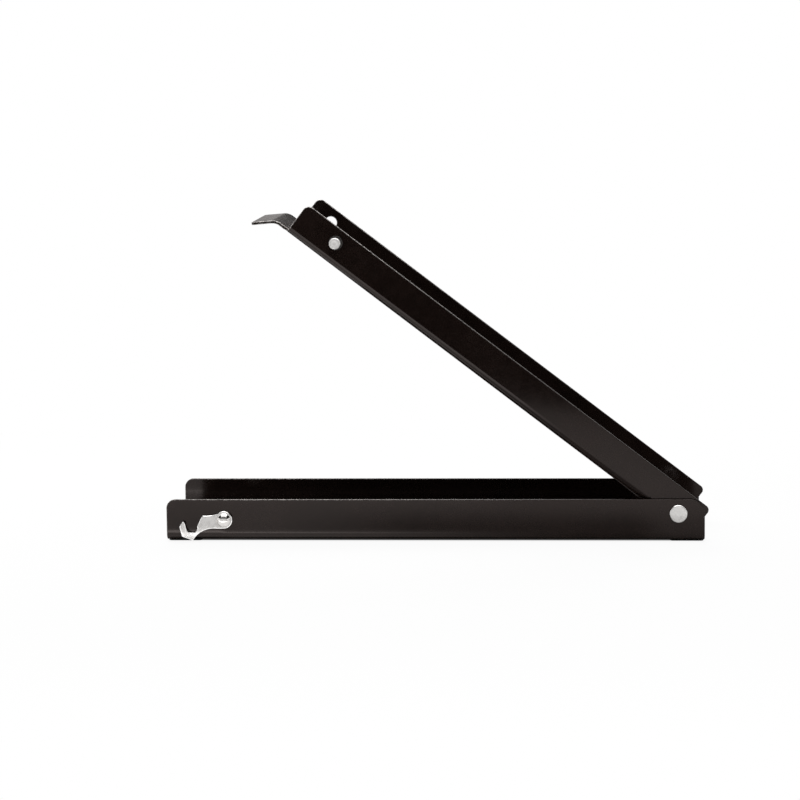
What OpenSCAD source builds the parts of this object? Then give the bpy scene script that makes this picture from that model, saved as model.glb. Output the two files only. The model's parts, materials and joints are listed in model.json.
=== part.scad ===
// Lever can crusher: two bent-sheet channels on a riveted hinge, with a hook latch that holds them shut.
// Frame: +X towards the hinge end, +Y towards the rear side, +Z up.
// The origin lies on the table under the middle of the base. All sizes are in millimetres.

/* [Sheet metal] */
// Thickness of the sheet in both channels
sheet_t = 2; // [1.6:0.1:2.4]
// Outside radius of the bends between web and flanges
bend_r = 5; // [4:0.5:6]

/* [Base channel] */
// Length of the base
base_len = 381; // [370:1:420]
// Width of the base over its flanges
base_w = 101.6; // [95:0.1:130]
// Height of the base's flanges over the underside of its web
base_h = 29; // [28:0.5:34]
// Radius of the flanges' top corners at the latch end
base_corner_r = 6.3; // [3:0.1:9]
// Radius of the flanges' top corners at the hinge end
hinge_corner_r = 10.5; // [9:0.5:13]

/* [Hinge] */
// Distance of the hinge axis from the base's end
hinge_inset = 18.5; // [14:0.5:26]
// Distance of the hinge axis below the base's top edges
hinge_drop = 10; // [9:0.1:11]
// Diameter of the hinge rivets' shanks
hinge_shank_d = 6; // [5:0.1:7]
// Diameter of the hinge rivets' flat heads
hinge_head_d = 12.6; // [11:0.1:14]
// Thickness of the hinge rivets' flat heads
hinge_head_t = 2; // [1.5:0.1:3]
// Diameter of the hinge rivets' peened tails
hinge_tail_d = 9.4; // [9:0.1:11]
// Diameter of the washers under the hinge rivets' tails
hinge_washer_d = 12.4; // [11:0.1:14]
// Thickness of the washers under the hinge rivets' tails
hinge_washer_t = 1; // [0.8:0.1:1.5]

/* [Press arm] */
// Gap between each flange of the arm and the base's flange beside it
arm_gap = 1.3; // [1.1:0.1:2]
// Distance from the hinge axis to the free end of the arm's flanges
arm_len = 339; // [325:1:345]
// Height of the arm's top edges over the hinge axis
arm_above = 15.9; // [14:0.1:20]
// Depth of the arm's underside below the hinge axis
arm_below = 8.6; // [8:0.1:10]
// Radius of the top corners at the arm's free end
arm_corner_r = 5; // [3:0.5:8]
// Distance from the hinge axis to the end of the arm's web
web_start = 31; // [27:1:60]
// Radius that trims the bends at the end of the arm's web
web_trim_r = 10; // [6.5:0.5:10]
// Width of metal round the hinge holes in the ears
ear_wall = 5.2; // [4:0.1:6]
// Radius of the top corners of the ears
ear_corner_r = 3.5; // [2:0.5:5]
// Radius of the lower corners of the ears
ear_heel_r = 13; // [8:0.5:14]
// Gap between the ears' ends and the base's web when the arm stands upright
ear_clear = 0.6; // [0.4:0.1:2]
// Angle of the arm over the base, as it stands
rest_angle = 37.5; // [2:0.5:90]

/* [Lip] */
// Length of the flat between the flanges' ends and the bend of the lip
lip_flat = 6.8; // [3:0.1:10]
// Inside radius of the bend of the lip
lip_bend_r = 8; // [5:0.5:12]
// Angle that the lip is bent down by
lip_angle = 42; // [20:1:60]
// Length of the lip past its bend
lip_run = 14.2; // [8:0.1:18]
// Distance of the lip's sides from the arm's outer faces
lip_side_inset = 2.5; // [1:0.5:8]
// Radius of the lip's corners
lip_corner_r = 2.5; // [1:0.5:4]

/* [Catch stud and hang hole] */
// Diameter of the stud where the hook holds it
stud_d = 7; // [6:0.1:8]
// Diameter of the stud's rim, which keeps the hook on
stud_rim_d = 8; // [7.5:0.1:10]
// Width of the stud's rim
stud_rim_t = 1.3; // [0.8:0.1:2]
// Diameter of the stud's collar
stud_collar_d = 10; // [9:0.1:12]
// Thickness of the stud's collar
stud_collar_t = 0.7; // [0.5:0.1:0.8]
// Length of the stud outside the arm
stud_len = 9.6; // [9.5:0.1:12]
// Distance of the stud from the free end of the arm's flanges
stud_inset = 32.1; // [28:0.1:40]
// Height of the stud over the hinge axis, square to the arm
stud_rise = 6; // [4:0.1:8]
// Diameter of the hole in the rear flange that the crusher is hung up by
hang_d = 9; // [5:0.5:10]
// Distance of the hang hole from the free end of the arm's flanges
hang_inset = 18; // [12:0.5:24]
// Height of the hang hole over the hinge axis, square to the arm
hang_rise = 6; // [4:0.1:8]

/* [Latch] */
// Thickness of the hook's plate
latch_t = 2.2; // [1.6:0.1:2.4]
// Distance of the hook's pivot below the base's top edges
latch_drop = 14.3; // [12:0.1:15]
// Distance along the base from the closed stud to the hook's pivot
latch_lead = 14.85; // [12:0.05:18]
// Angle that the hook hangs down by, as it stands
latch_droop = 13.1; // [10:0.1:16]
// Diameter of the hook's eye
latch_eye_d = 12.6; // [12:0.1:15]
// Height of the hook's shoulder over the line from pivot to throat
latch_shoulder = 6.3; // [5:0.1:7]
// Distance of the shoulder's corner from the middle of the throat
shoulder_lead = 8.3; // [7:0.1:9]
// Hollow of the upper edge of the hook's neck below its shoulder
neck_hollow = 1.1; // [0.5:0.1:1.5]
// Radius of the hollow upper edge of the hook's neck
neck_top_r = 26; // [20:1:40]
// Radius of the hollow lower edge of the hook's neck
neck_under_r = 17; // [15:0.5:20]
// Height of the hook's neck below the line from pivot to throat
neck_under = 4; // [3.5:0.1:4.5]
// Width of the prong beside the throat
prong_w = 4.3; // [4:0.1:7]
// Height of the prong's tip over the line from pivot to throat
prong_rise = 5.4; // [4:0.1:7]
// Fall of the prong's top from its tip to its outer corner
prong_fall = 2.7; // [1.5:0.1:3.5]
// Depth of the prong's outer edge below the line from pivot to throat
prong_drop = 4.6; // [4:0.1:6]
// Depth of the hook's lower tip below the line from pivot to throat
heel_drop = 9.2; // [8.5:0.1:10]
// Distance of the hook's lower tip past the middle of the throat
heel_lead = 1.8; // [1:0.1:3]
// Angle that the prong is bent outwards by
prong_bend = 15; // [8:1:20]
// Gap between the hook's throat and the stud
throat_clear = 0.35; // [0.2:0.05:0.6]
// Diameter of the latch rivet's shank
latch_shank_d = 5; // [4:0.1:6]
// Diameter of the latch rivet's domed head
latch_head_d = 10; // [9:0.1:11]
// Height of the latch rivet's domed head
latch_head_h = 2.7; // [1.5:0.1:3]
// Diameter of the latch rivet's peened tail
latch_tail_d = 7.4; // [7:0.1:8]
// Diameter of the latch's spacer and of the washer under the rivet's tail
latch_washer_d = 10; // [9:0.1:11]
// Thickness of the latch's spacer and of the washer under the rivet's tail
latch_washer_t = 0.5; // [0.4:0.1:0.8]

/* [Foot pads] */
// Length of a foot pad along the base
foot_len = 23.6; // [18:0.1:40]
// Distance of a foot pad's end from the end of the base
foot_end = 0.5; // [0.3:0.1:5]
// Width of a foot pad across the base
foot_w = 30; // [20:1:35]
// Thickness of a foot pad
foot_t = 1.5; // [1.5:0.1:4]
// Radius of a foot pad's corners
foot_corner_r = 2.5; // [1:0.5:5]
// Distance of a foot pad from the side of the base
foot_side = 7; // [6.5:0.5:12]

/* [Fits] */
// Radial clearance of a part that turns on a shank
run_clear = 0.05; // [0.03:0.01:0.1]
// Radial clearance of a part that sits still on a shank
seat_clear = 0.05; // [0.03:0.01:0.1]
// Play along a rivet for the part that turns on it
end_play = 0.1; // [0.06:0.01:0.15]
// Gap under the stud when the arm is shut
shut_gap = 0.2; // [0.15:0.05:0.5]

/* [Hidden] */
$fn = 64;

paint = [0.13, 0.11, 0.1];
nickel = [0.78, 0.77, 0.74];
zinc = [0.62, 0.63, 0.63];
rubber = [0.08, 0.08, 0.08];

// Cuts reach this far past the faces that they open
over = 1;
// Peened tails and rims have this chamfer
tail_chamfer = 0.5;
// Thickness of a peened tail
tail_t = 1.4;
// Length of a shank's root inside its head
shank_root = 0.4;
// The stud is this much thinner all round where it goes through the flange
stud_step = 0.5;

// Levels and places of the base
web_z = foot_t;
hinge_x = base_len / 2 - hinge_inset;
hinge_h = base_h - hinge_drop;
hinge_z = web_z + hinge_h;

// What the hinge rivets hold between head and tail
hinge_grip = 2 * sheet_t + arm_gap + end_play + hinge_washer_t;

// Arm, in its own frame: hinge axis at the origin, free end towards -X
arm_w = base_w - 2 * (sheet_t + arm_gap);
arm_h = arm_above + arm_below;
ear_back = hinge_h - sheet_t - ear_clear;
ear_low = bend_r - arm_below;
ear_lobe_r = hinge_shank_d / 2 + ear_wall;
web_flat_w = arm_w - 2 * bend_r;
lip_w = arm_w - 2 * lip_side_inset;
lip_outer_r = lip_bend_r + sheet_t;
// Straight steps in the bend of the lip
lip_steps = 14;
stud_along = arm_len - stud_inset;
hang_along = arm_len - hang_inset;

// Place of the stud from the hinge axis when the arm is shut
stud_shut_z = hinge_drop + stud_d / 2 + shut_gap;
stud_reach = norm([stud_along, stud_rise]);
stud_shut_x = -sqrt(stud_reach ^ 2 - stud_shut_z ^ 2);
shut_angle = asin(stud_shut_z / stud_reach) - atan2(stud_rise, stud_along);

// Hook, in its own frame: pivot at the origin, throat towards -X
latch_x = hinge_x + stud_shut_x - latch_lead;
latch_z = hinge_z + hinge_drop - latch_drop;
seat_rise = latch_drop + stud_d / 2 + shut_gap;
seat_r = norm([latch_lead, seat_rise]);
seat_angle = atan2(seat_rise, latch_lead);
throat_r = stud_d / 2 + throat_clear;
latch_off = latch_washer_t + end_play;
prong_x = seat_r + throat_r + prong_w;
heel = [-seat_r - heel_lead, -heel_drop];
// Middles of the neck's hollow edges, from the pivot
neck_mid = seat_r / 4;
neck_low = seat_r * 0.53;
// Straight stretch of the neck's lower edge that touches the eye, as a turn from the bottom of the eye
eye_turn = 12;
eye_join = latch_eye_d / 2 * [-sin(eye_turn), -cos(eye_turn)];
eye_run = seat_r / 3 * [-cos(eye_turn), sin(eye_turn)];
// Small corners of the hook are cut off by this much
corner_cut = 0.9;
// Lean of the crease from the square line across the hook
crease_tilt = 13;
// Distance of the crease from the hook's lower tip
crease_lead = 0.4;

// Joint ranges from the pose as it stands, for the record
echo(hinge_at = [hinge_x, 0, hinge_z], arm_range = [shut_angle - rest_angle, 90 - rest_angle]);
echo(latch_at = [latch_x, -base_w / 2, latch_z], latch_shut = 180 + latch_droop - seat_angle);

// What a corner at a point loses when it is rounded, where inward points into the sheet
module corner_waste(at, inward, r) {
    translate(at)
        difference() {
            translate([inward.x > 0 ? -over : -r, inward.y > 0 ? -over : -r])
                square(r + over);
            translate([inward.x * r, inward.y * r])
                circle(r);
        }
}

// Rectangle with two round lower corners
module round_trough(w, h, r) {
    translate([-w / 2, r])
        square([w, h - r]);
    translate([r - w / 2, 0])
        square([w - 2 * r, h]);
    for (side = [-1, 1])
        translate([side * (w / 2 - r), r])
            circle(r);
}

// Cross-section of a channel, with the middle of its underside at the origin
module channel_section(w, h) {
    difference() {
        round_trough(w, h, bend_r);
        translate([0, sheet_t])
            round_trough(w - 2 * sheet_t, h, bend_r - sheet_t);
    }
}

// A channel along X, from the origin
module channel(w, h, length) {
    rotate([90, 0, 90])
        linear_extrude(length)
            channel_section(w, h);
}

// A side view drawn in X and Z, extruded across Y about the middle
module across(w) {
    rotate([90, 0, 0])
        linear_extrude(w, center = true)
            children();
}

// A turned part on an axis along -Y, each piece of it drawn as radius and distance to the front
module turned() {
    rotate([90, 0, 0])
        for (piece = [0:$children - 1])
            rotate_extrude()
                children(piece);
}

// A plain washer on an axis along -Y, from the origin to the front
module washer(outer_d, shank_d, thick) {
    rotate([90, 0, 0])
        difference() {
            cylinder(d = outer_d, h = thick);
            translate([0, 0, -over])
                cylinder(r = shank_d / 2 + seat_clear, h = thick + 2 * over);
        }
}

// A round hole along Y, about the middle of its length
module hole(r, length) {
    rotate([90, 0, 0])
        cylinder(r = r, h = length, center = true);
}

// Shank and peened tail of a rivet whose head sits at zero, with the shank's root in the head
module rivet_shank(shank_d, grip, tail_d, root = shank_root) {
    shank_r = shank_d / 2;
    tail_r = tail_d / 2;
    tail_z = -grip - tail_t;
    polygon([
        [0, root], [shank_r, root], [shank_r, -grip], [tail_r, -grip],
        [tail_r, tail_z + tail_chamfer], [tail_r - tail_chamfer, tail_z], [0, tail_z]
    ]);
}

// What the base's flanges lose at their top corners
module base_corners() {
    corner_waste([-base_len / 2, base_h], [1, -1], base_corner_r);
    corner_waste([base_len / 2, base_h], [-1, -1], hinge_corner_r);
}

module base_channel() {
    color(paint)
        difference() {
            translate([-base_len / 2, 0, web_z])
                channel(base_w, base_h, base_len);
            translate([0, 0, web_z])
                across(base_w + 2 * over)
                    base_corners();
            translate([hinge_x, 0, hinge_z])
                hole(hinge_shank_d / 2 + seat_clear, base_w + 2 * over);
            translate([latch_x, -base_w / 2, latch_z])
                hole(latch_shank_d / 2 + seat_clear, 4 * sheet_t);
        }
}

// Puts the arm's own frame on the hinge, at the angle that it stands at
module on_arm() {
    translate([hinge_x, 0, hinge_z])
        rotate([0, rest_angle, 0])
            children();
}

// Side of the arm's trough, from the free end to the trimmed end of its web
module trough_side() {
    trim_x = web_trim_r - web_start;
    difference() {
        translate([-arm_len, -arm_below])
            square([arm_len + trim_x, arm_h]);
        corner_waste([-arm_len, arm_above], [1, -1], arm_corner_r);
        corner_waste([trim_x, -arm_below], [-1, 1], web_trim_r);
    }
}

module arm_trough() {
    difference() {
        intersection() {
            translate([-arm_len, 0, -arm_below])
                channel(arm_w, arm_h, arm_len);
            across(arm_w + 2 * over)
                trough_side();
        }
        translate([-web_start, bend_r - arm_w / 2, -arm_below - over])
            cube([web_start, web_flat_w, arm_h]);
    }
}

// Flat ear of one flange, with a lobe round the hinge hole
module ear_side() {
    difference() {
        translate([-web_start, ear_low])
            square([web_start + ear_back, arm_above - ear_low]);
        corner_waste([ear_back, arm_above], [-1, -1], ear_corner_r);
        corner_waste([ear_back, ear_low], [-1, 1], ear_heel_r);
    }
    circle(ear_lobe_r);
}

module arm_ears() {
    for (side = [-1, 1])
        translate([0, side * (arm_w - sheet_t) / 2, 0])
            across(sheet_t)
                ear_side();
}

// Direction from the middle of the lip's bend, after a part of the bend
function lip_spoke(part) = [-sin(part * lip_angle), cos(part * lip_angle)];

// Side of the lip: flat, bend and run, with the bend in short straight steps
module lip_side() {
    middle = [-arm_len - lip_flat, -arm_below - lip_bend_r];
    run = lip_run * [-cos(lip_angle), -sin(lip_angle)];
    polygon([
        [-arm_len, -arm_below],
        for (i = [0:lip_steps]) middle + lip_bend_r * lip_spoke(i / lip_steps),
        middle + lip_bend_r * lip_spoke(1) + run,
        middle + lip_outer_r * lip_spoke(1) + run,
        for (i = [lip_steps:-1:0]) middle + lip_outer_r * lip_spoke(i / lip_steps),
        [-arm_len, sheet_t - arm_below]
    ]);
}

module arm_lip() {
    root_w = web_flat_w - 2 * sheet_t;
    tip_x = -arm_len - lip_flat - lip_outer_r * sin(lip_angle) - lip_run * cos(lip_angle);
    lip_drop = arm_below + lip_outer_r + lip_run;
    translate([-arm_len - lip_flat / 2, -root_w / 2, -arm_below])
        cube([lip_flat, root_w, sheet_t]);
    difference() {
        across(lip_w)
            lip_side();
        translate([0, 0, -lip_drop])
            linear_extrude(lip_drop)
                for (side = [-1, 1])
                    corner_waste([tip_x, side * lip_w / 2], [1, -side], lip_corner_r);
    }
}

module press_arm() {
    color(paint)
        on_arm()
            difference() {
                union() {
                    arm_trough();
                    arm_ears();
                    arm_lip();
                }
                hole(hinge_shank_d / 2 + run_clear, arm_w + 2 * over);
                translate([-stud_along, -arm_w / 2, stud_rise])
                    hole(stud_d / 2 - stud_step + seat_clear, 4 * sheet_t);
                translate([-hang_along, arm_w / 2, hang_rise])
                    hole(hang_d / 2, 4 * sheet_t);
            }
}

module catch_stud() {
    rim_z = stud_len - stud_rim_t;
    rim_r = stud_rim_d / 2;
    collar_r = stud_collar_d / 2;
    color(nickel)
        on_arm()
            translate([-stud_along, -arm_w / 2, stud_rise])
                turned() {
                    rivet_shank(stud_d - 2 * stud_step, sheet_t, stud_collar_d);
                    polygon([
                        [0, 0], [collar_r, 0], [collar_r, stud_collar_t],
                        [stud_d / 2, stud_collar_t], [stud_d / 2, rim_z],
                        [rim_r, rim_z], [rim_r, stud_len - tail_chamfer],
                        [rim_r - tail_chamfer, stud_len], [0, stud_len]
                    ]);
                }
}

// Puts the front half of the hinge at the base's outer face, and mirrors it for the rear
module on_hinge(side) {
    translate([hinge_x, 0, hinge_z])
        mirror([0, side > 0 ? 1 : 0, 0])
            translate([0, -base_w / 2, 0])
                children();
}

module hinge_rivet(side) {
    head_r = hinge_head_d / 2;
    color(nickel)
        on_hinge(side)
            turned() {
                rivet_shank(hinge_shank_d, hinge_grip, hinge_tail_d);
                polygon([
                    [0, 0], [head_r, 0], [head_r, hinge_head_t - tail_chamfer],
                    [head_r - tail_chamfer, hinge_head_t], [0, hinge_head_t]
                ]);
            }
}

module hinge_spacer(side) {
    spacer_t = arm_gap - end_play;
    color(zinc)
        on_hinge(side)
            translate([0, sheet_t + spacer_t, 0])
                washer(2 * ear_lobe_r, hinge_shank_d, spacer_t);
}

module hinge_washer(side) {
    color(zinc)
        on_hinge(side)
            translate([0, hinge_grip, 0])
                washer(hinge_washer_d, hinge_shank_d, hinge_washer_t);
}

// Puts the pivot of the hook at the base's outer face
module on_latch() {
    translate([latch_x, -base_w / 2, latch_z])
        children();
}

// Neck, shoulder and prong of the hook, before the throat is cut
module hook_blade() {
    throat_x = seat_r + throat_r;
    shoulder_x = seat_r - shoulder_lead;
    difference() {
        polygon([
            [0, latch_shoulder], [corner_cut - shoulder_x, latch_shoulder],
            [-shoulder_x, latch_shoulder - corner_cut],
            [throat_r - seat_r, 0], [-throat_x, 0],
            [-throat_x, prong_rise - corner_cut], [-throat_x - corner_cut, prong_rise],
            [-throat_x - 2 * corner_cut, prong_rise],
            [-prong_x, prong_rise - prong_fall], [-prong_x, -prong_drop],
            heel, [-neck_low, heel.y], eye_join + eye_run, eye_join, [0, 0]
        ]);
        translate([-neck_mid, latch_shoulder - neck_hollow + neck_top_r])
            circle(neck_top_r);
        translate([-neck_low, -neck_under - neck_under_r])
            circle(neck_under_r);
    }
}

// Outline of the hook, seen square to its blade
module hook_outline() {
    difference() {
        union() {
            circle(d = latch_eye_d);
            hook_blade();
        }
        translate([-seat_r, 0])
            circle(throat_r);
        circle(latch_shank_d / 2 + run_clear);
    }
}

// Plate across its crease: the blade runs to +X, and the prong is bent outwards
module crease_section() {
    reach = 2 * prong_x;
    corner = latch_t * tan(prong_bend / 2);
    far = reach * [-cos(prong_bend), sin(prong_bend)];
    polygon([
        [-corner, 0], [reach, 0], [reach, latch_t],
        [0, latch_t], [far.x, latch_t + far.y], [far.x - corner, far.y]
    ]);
}

// Plate of the hook before its outline is cut, with the crease from its lower tip
module creased_plate() {
    translate([heel.x + crease_lead, heel.y, 0])
        rotate([90, 0, -crease_tilt])
            linear_extrude(4 * prong_x, center = true)
                crease_section();
}

module latch_hook() {
    depth = latch_t + prong_x * sin(prong_bend);
    color(nickel)
        on_latch()
            translate([0, -latch_off, 0])
                rotate([0, -latch_droop, 0])
                    rotate([90, 0, 0])
                        intersection() {
                            creased_plate();
                            translate([0, 0, -over])
                                linear_extrude(depth + 2 * over)
                                    hook_outline();
                        }
}

module latch_rivet() {
    grip = sheet_t + latch_washer_t;
    head_z = latch_off + latch_t + end_play;
    dome_r = ((latch_head_d / 2) ^ 2 + latch_head_h ^ 2) / (2 * latch_head_h);
    color(nickel)
        on_latch()
            turned() {
                rivet_shank(latch_shank_d, grip, latch_tail_d, head_z + shank_root);
                intersection() {
                    translate([0, head_z + latch_head_h - dome_r])
                        circle(dome_r);
                    translate([0, head_z])
                        square([latch_head_d, latch_head_h + over]);
                }
            }
}

module latch_spacer() {
    color(zinc)
        on_latch()
            washer(latch_washer_d, latch_shank_d, latch_washer_t);
}

module latch_washer() {
    color(zinc)
        on_latch()
            translate([0, sheet_t + latch_washer_t, 0])
                washer(latch_washer_d, latch_shank_d, latch_washer_t);
}

// Rubber pad under one corner of the base
module foot(end, side) {
    pad = [foot_len, foot_w];
    far_x = base_len / 2 - foot_end;
    far_y = base_w / 2 - foot_side;
    color(rubber)
        translate([end * (far_x - foot_len / 2), side * (far_y - foot_w / 2), 0])
            linear_extrude(foot_t)
                difference() {
                    square(pad, center = true);
                    for (sx = [-1, 1], sy = [-1, 1])
                        corner_waste([sx * pad.x / 2, sy * pad.y / 2], [-sx, -sy], foot_corner_r);
                }
}

base_channel();
press_arm();
hinge_rivet(-1);  // hinge_rivet_front
hinge_rivet(1);  // hinge_rivet_rear
hinge_spacer(-1);  // hinge_spacer_front
hinge_spacer(1);  // hinge_spacer_rear
hinge_washer(-1);  // hinge_washer_front
hinge_washer(1);  // hinge_washer_rear
catch_stud();
latch_hook();
latch_rivet();
latch_spacer();
latch_washer();
foot(-1, -1);  // foot_front_left
foot(1, -1);  // foot_front_right
foot(-1, 1);  // foot_rear_left
foot(1, 1);  // foot_rear_right
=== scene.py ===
"""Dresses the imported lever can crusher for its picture.

Two bent-sheet channels swing on a riveted hinge, and a hook latch holds them shut.
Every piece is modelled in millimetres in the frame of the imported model, and is
scaled to metres when it leaves the bench.
"""

import json
import logging
import math
from dataclasses import dataclass
from enum import Enum
from itertools import product
from typing import Any, Callable, ClassVar, Iterable, Optional, Sequence, Union

import bmesh
import bpy
from mathutils import Matrix, Vector


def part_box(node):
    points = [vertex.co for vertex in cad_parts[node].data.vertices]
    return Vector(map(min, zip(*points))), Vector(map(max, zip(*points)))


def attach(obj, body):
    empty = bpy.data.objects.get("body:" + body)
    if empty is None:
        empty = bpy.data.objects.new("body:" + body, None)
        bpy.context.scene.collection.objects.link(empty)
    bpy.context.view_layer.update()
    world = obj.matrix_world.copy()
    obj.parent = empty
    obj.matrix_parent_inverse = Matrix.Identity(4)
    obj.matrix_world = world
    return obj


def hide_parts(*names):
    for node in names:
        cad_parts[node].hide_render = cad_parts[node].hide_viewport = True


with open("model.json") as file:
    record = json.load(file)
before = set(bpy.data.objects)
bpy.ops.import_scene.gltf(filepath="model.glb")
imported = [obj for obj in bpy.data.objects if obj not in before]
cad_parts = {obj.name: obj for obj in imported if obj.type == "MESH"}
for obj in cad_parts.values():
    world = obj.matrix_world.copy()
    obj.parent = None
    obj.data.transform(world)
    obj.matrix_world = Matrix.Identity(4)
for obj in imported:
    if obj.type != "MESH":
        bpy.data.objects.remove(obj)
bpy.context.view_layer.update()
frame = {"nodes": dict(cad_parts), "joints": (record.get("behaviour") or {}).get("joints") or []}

LOG = logging.getLogger("can_crusher")
MM = 0.001
AXIS_X, AXIS_Y, AXIS_Z = Vector((1, 0, 0)), Vector((0, 1, 0)), Vector((0, 0, 1))

Triple = tuple[float, float, float]
Colour = Triple
Span = tuple[float, float]
Zone = tuple[Span, Span]
Point = Sequence[float]


class Body(Enum):
    """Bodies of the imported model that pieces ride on."""

    BASE = "base"
    ARM = "arm"
    LATCH = "latch"


class Slot(Enum):
    """Material slots of the record."""

    PAINT = "black_paint"
    NICKEL = "bright_nickel"
    ZINC = "zinc"
    RUBBER = "foot_rubber"


class Side(Enum):
    """Sides of the crusher, as the sign of Y."""

    FRONT = -1
    REAR = 1


class Round(Enum):
    """What a round is put on, as the bevel operator calls it."""

    EDGES = "EDGES"
    CORNERS = "VERTICES"


class Stand(Enum):
    """Ways that a card stands, as quarter turns about X and then Z."""

    FLAT = (0, 0)
    UPRIGHT = (1, 0)
    SIDEWAYS = (1, 1)

    @property
    def matrix(self) -> Matrix:
        """The turn from lying flat."""
        tip, swing = (turns * math.pi / 2 for turns in self.value)
        return Matrix.Rotation(swing, 4, "Z") @ Matrix.Rotation(tip, 4, "X")


# Shader maths

RISE: Span = (0.0, 1.0)
FALL: Span = (1.0, 0.0)
# The middle of a noise texture's values
EVEN = 0.5


@dataclass(frozen=True)
class Value:
    """An output socket of a node tree, with Python's operators for its maths."""

    graph: "Graph"
    socket: bpy.types.NodeSocket

    def _math(self, operation: str, *inputs: "Input") -> "Value":
        """Returns the result of a Math node with these inputs, in order."""
        return self.graph.node("ShaderNodeMath", {"operation": operation}, dict(enumerate(inputs)))

    def __add__(self, other: "Input") -> "Value":
        """Returns self + other."""
        return self._math("ADD", self, other)

    __radd__ = __add__

    def __sub__(self, other: "Input") -> "Value":
        """Returns self - other."""
        return self._math("SUBTRACT", self, other)

    def __rsub__(self, other: "Input") -> "Value":
        """Returns other - self."""
        return self._math("SUBTRACT", other, self)

    def __mul__(self, other: "Input") -> "Value":
        """Returns self * other."""
        return self._math("MULTIPLY", self, other)

    __rmul__ = __mul__

    def maximum(self, other: "Input") -> "Value":
        """Returns the larger of self and other."""
        return self._math("MAXIMUM", self, other)

    def sine(self) -> "Value":
        """Returns the sine of self."""
        return self._math("SINE", self)


Input = Union[Value, float, Sequence[float]]
Sockets = dict[Union[str, int], Input]


class Graph:
    """A node tree that is filled from Python expressions."""

    def __init__(self, owner: Union[bpy.types.Material, bpy.types.World]) -> None:
        """Starts an empty tree.

        Args:
            owner: the material or the world that it belongs to.
        """
        owner.use_nodes = True
        self.tree = owner.node_tree
        self.tree.nodes.clear()

    def node(self, kind: str, settings: Optional[dict[str, Any]] = None, sockets: Optional[Sockets] = None,
             out: Union[str, int] = 0) -> Value:
        """Adds one node.

        Args:
            kind: the node's type.
            settings: its properties, which are set first.
            sockets: values or links of its inputs, by name or number.
            out: the output to return, by name or number.

        Returns:
            The chosen output.
        """
        made = self.tree.nodes.new(kind)
        for key, value in (settings or {}).items():
            setattr(made, key, value)
        for key, value in (sockets or {}).items():
            if isinstance(value, Value):
                self.tree.links.new(value.socket, made.inputs[key])
            else:
                made.inputs[key].default_value = value
        return Value(self, made.outputs[out] if made.outputs else None)

    def place(self, centre: Point = (0, 0, 0), stretch: Point = (1, 1, 1), turn: Point = (0, 0, 0)) -> Value:
        """Returns Object coordinates about a centre in metres, stretched, and turned in radians."""
        moved = self.node("ShaderNodeVectorMath", {"operation": "SUBTRACT"},
                          {0: self.node("ShaderNodeTexCoord", out="Object"), 1: tuple(centre)})
        return self.node("ShaderNodeMapping", {"vector_type": "POINT"},
                         {"Vector": moved, "Rotation": tuple(turn), "Scale": tuple(stretch)})

    def axis(self, name: str, centre: Point = (0, 0, 0)) -> Value:
        """Returns the Object coordinate along X, Y or Z, from a centre."""
        return self.node("ShaderNodeSeparateXYZ", None, {0: self.place(centre)}, out=name)

    def length(self, where: Value) -> Value:
        """Returns the length of a vector."""
        return self.node("ShaderNodeVectorMath", {"operation": "LENGTH"}, {0: where}, out="Value")

    def smooth(self, amount: Value, low: float, high: float, to: Span = RISE) -> Value:
        """Returns an amount eased from one level at low to another at high."""
        ends: Sockets = {"From Min": low, "From Max": high, "To Min": to[0], "To Max": to[1]}
        return self.node("ShaderNodeMapRange", {"interpolation_type": "SMOOTHSTEP"},
                         {"Value": amount, **ends})

    def window(self, amount: Value, rise: Span, fall: Span) -> Value:
        """Returns 1 between a rise and a fall, and 0 beyond them."""
        return self.smooth(amount, *rise) * self.smooth(amount, *fall, FALL)

    def blend(self, amount: Value, first: Union[Value, Colour], second: Union[Value, Colour]) -> Value:
        """Returns two colours mixed by the share of the second."""
        first, second = (tone if isinstance(tone, Value) else (*tone, 1) for tone in (first, second))
        return self.node("ShaderNodeMix", {"data_type": "RGBA"}, {0: amount, 6: first, 7: second}, out=2)

    def bump(self, height: Value, depth: float, under: Optional[Value] = None) -> Value:
        """Returns the normal of a height so many metres deep, laid over another normal if there is one."""
        laid: Sockets = {} if under is None else {"Normal": under}
        return self.node("ShaderNodeBump", None,
                         {"Height": height, "Distance": depth, "Strength": 1.0, **laid})

    def sight(self) -> tuple[Value, Value]:
        """Returns 1 for a ray from the camera, and 1 for one off a gloss or through glass."""
        camera, gloss, clear = (self.node("ShaderNodeLightPath", out=name)
                                for name in ("Is Camera Ray", "Is Glossy Ray", "Is Transmission Ray"))
        return camera, gloss.maximum(clear)

    def matt(self, level: float) -> Value:
        """Returns a matt grey shader."""
        return self.node("ShaderNodeBsdfDiffuse", None, {"Color": (level, level, level, 1)})

    def glow(self, strength: float, colour: Colour = (1, 1, 1)) -> Value:
        """Returns a shader that gives off light."""
        return self.node("ShaderNodeEmission", None, {"Color": (*colour, 1), "Strength": strength})

    def mix(self, share: Value, first: Value, second: Value) -> Value:
        """Returns two shaders mixed by the share of the second."""
        return self.node("ShaderNodeMixShader", None, {0: share, 1: first, 2: second})

    def output(self, shader: Value) -> None:
        """Makes a shader the material's surface."""
        self.node("ShaderNodeOutputMaterial", None, {"Surface": shader})


# Finishes


class Texture(Enum):
    """Textures that a grain can have."""

    NOISE = "ShaderNodeTexNoise"
    CELLS = "ShaderNodeTexVoronoi"


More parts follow.
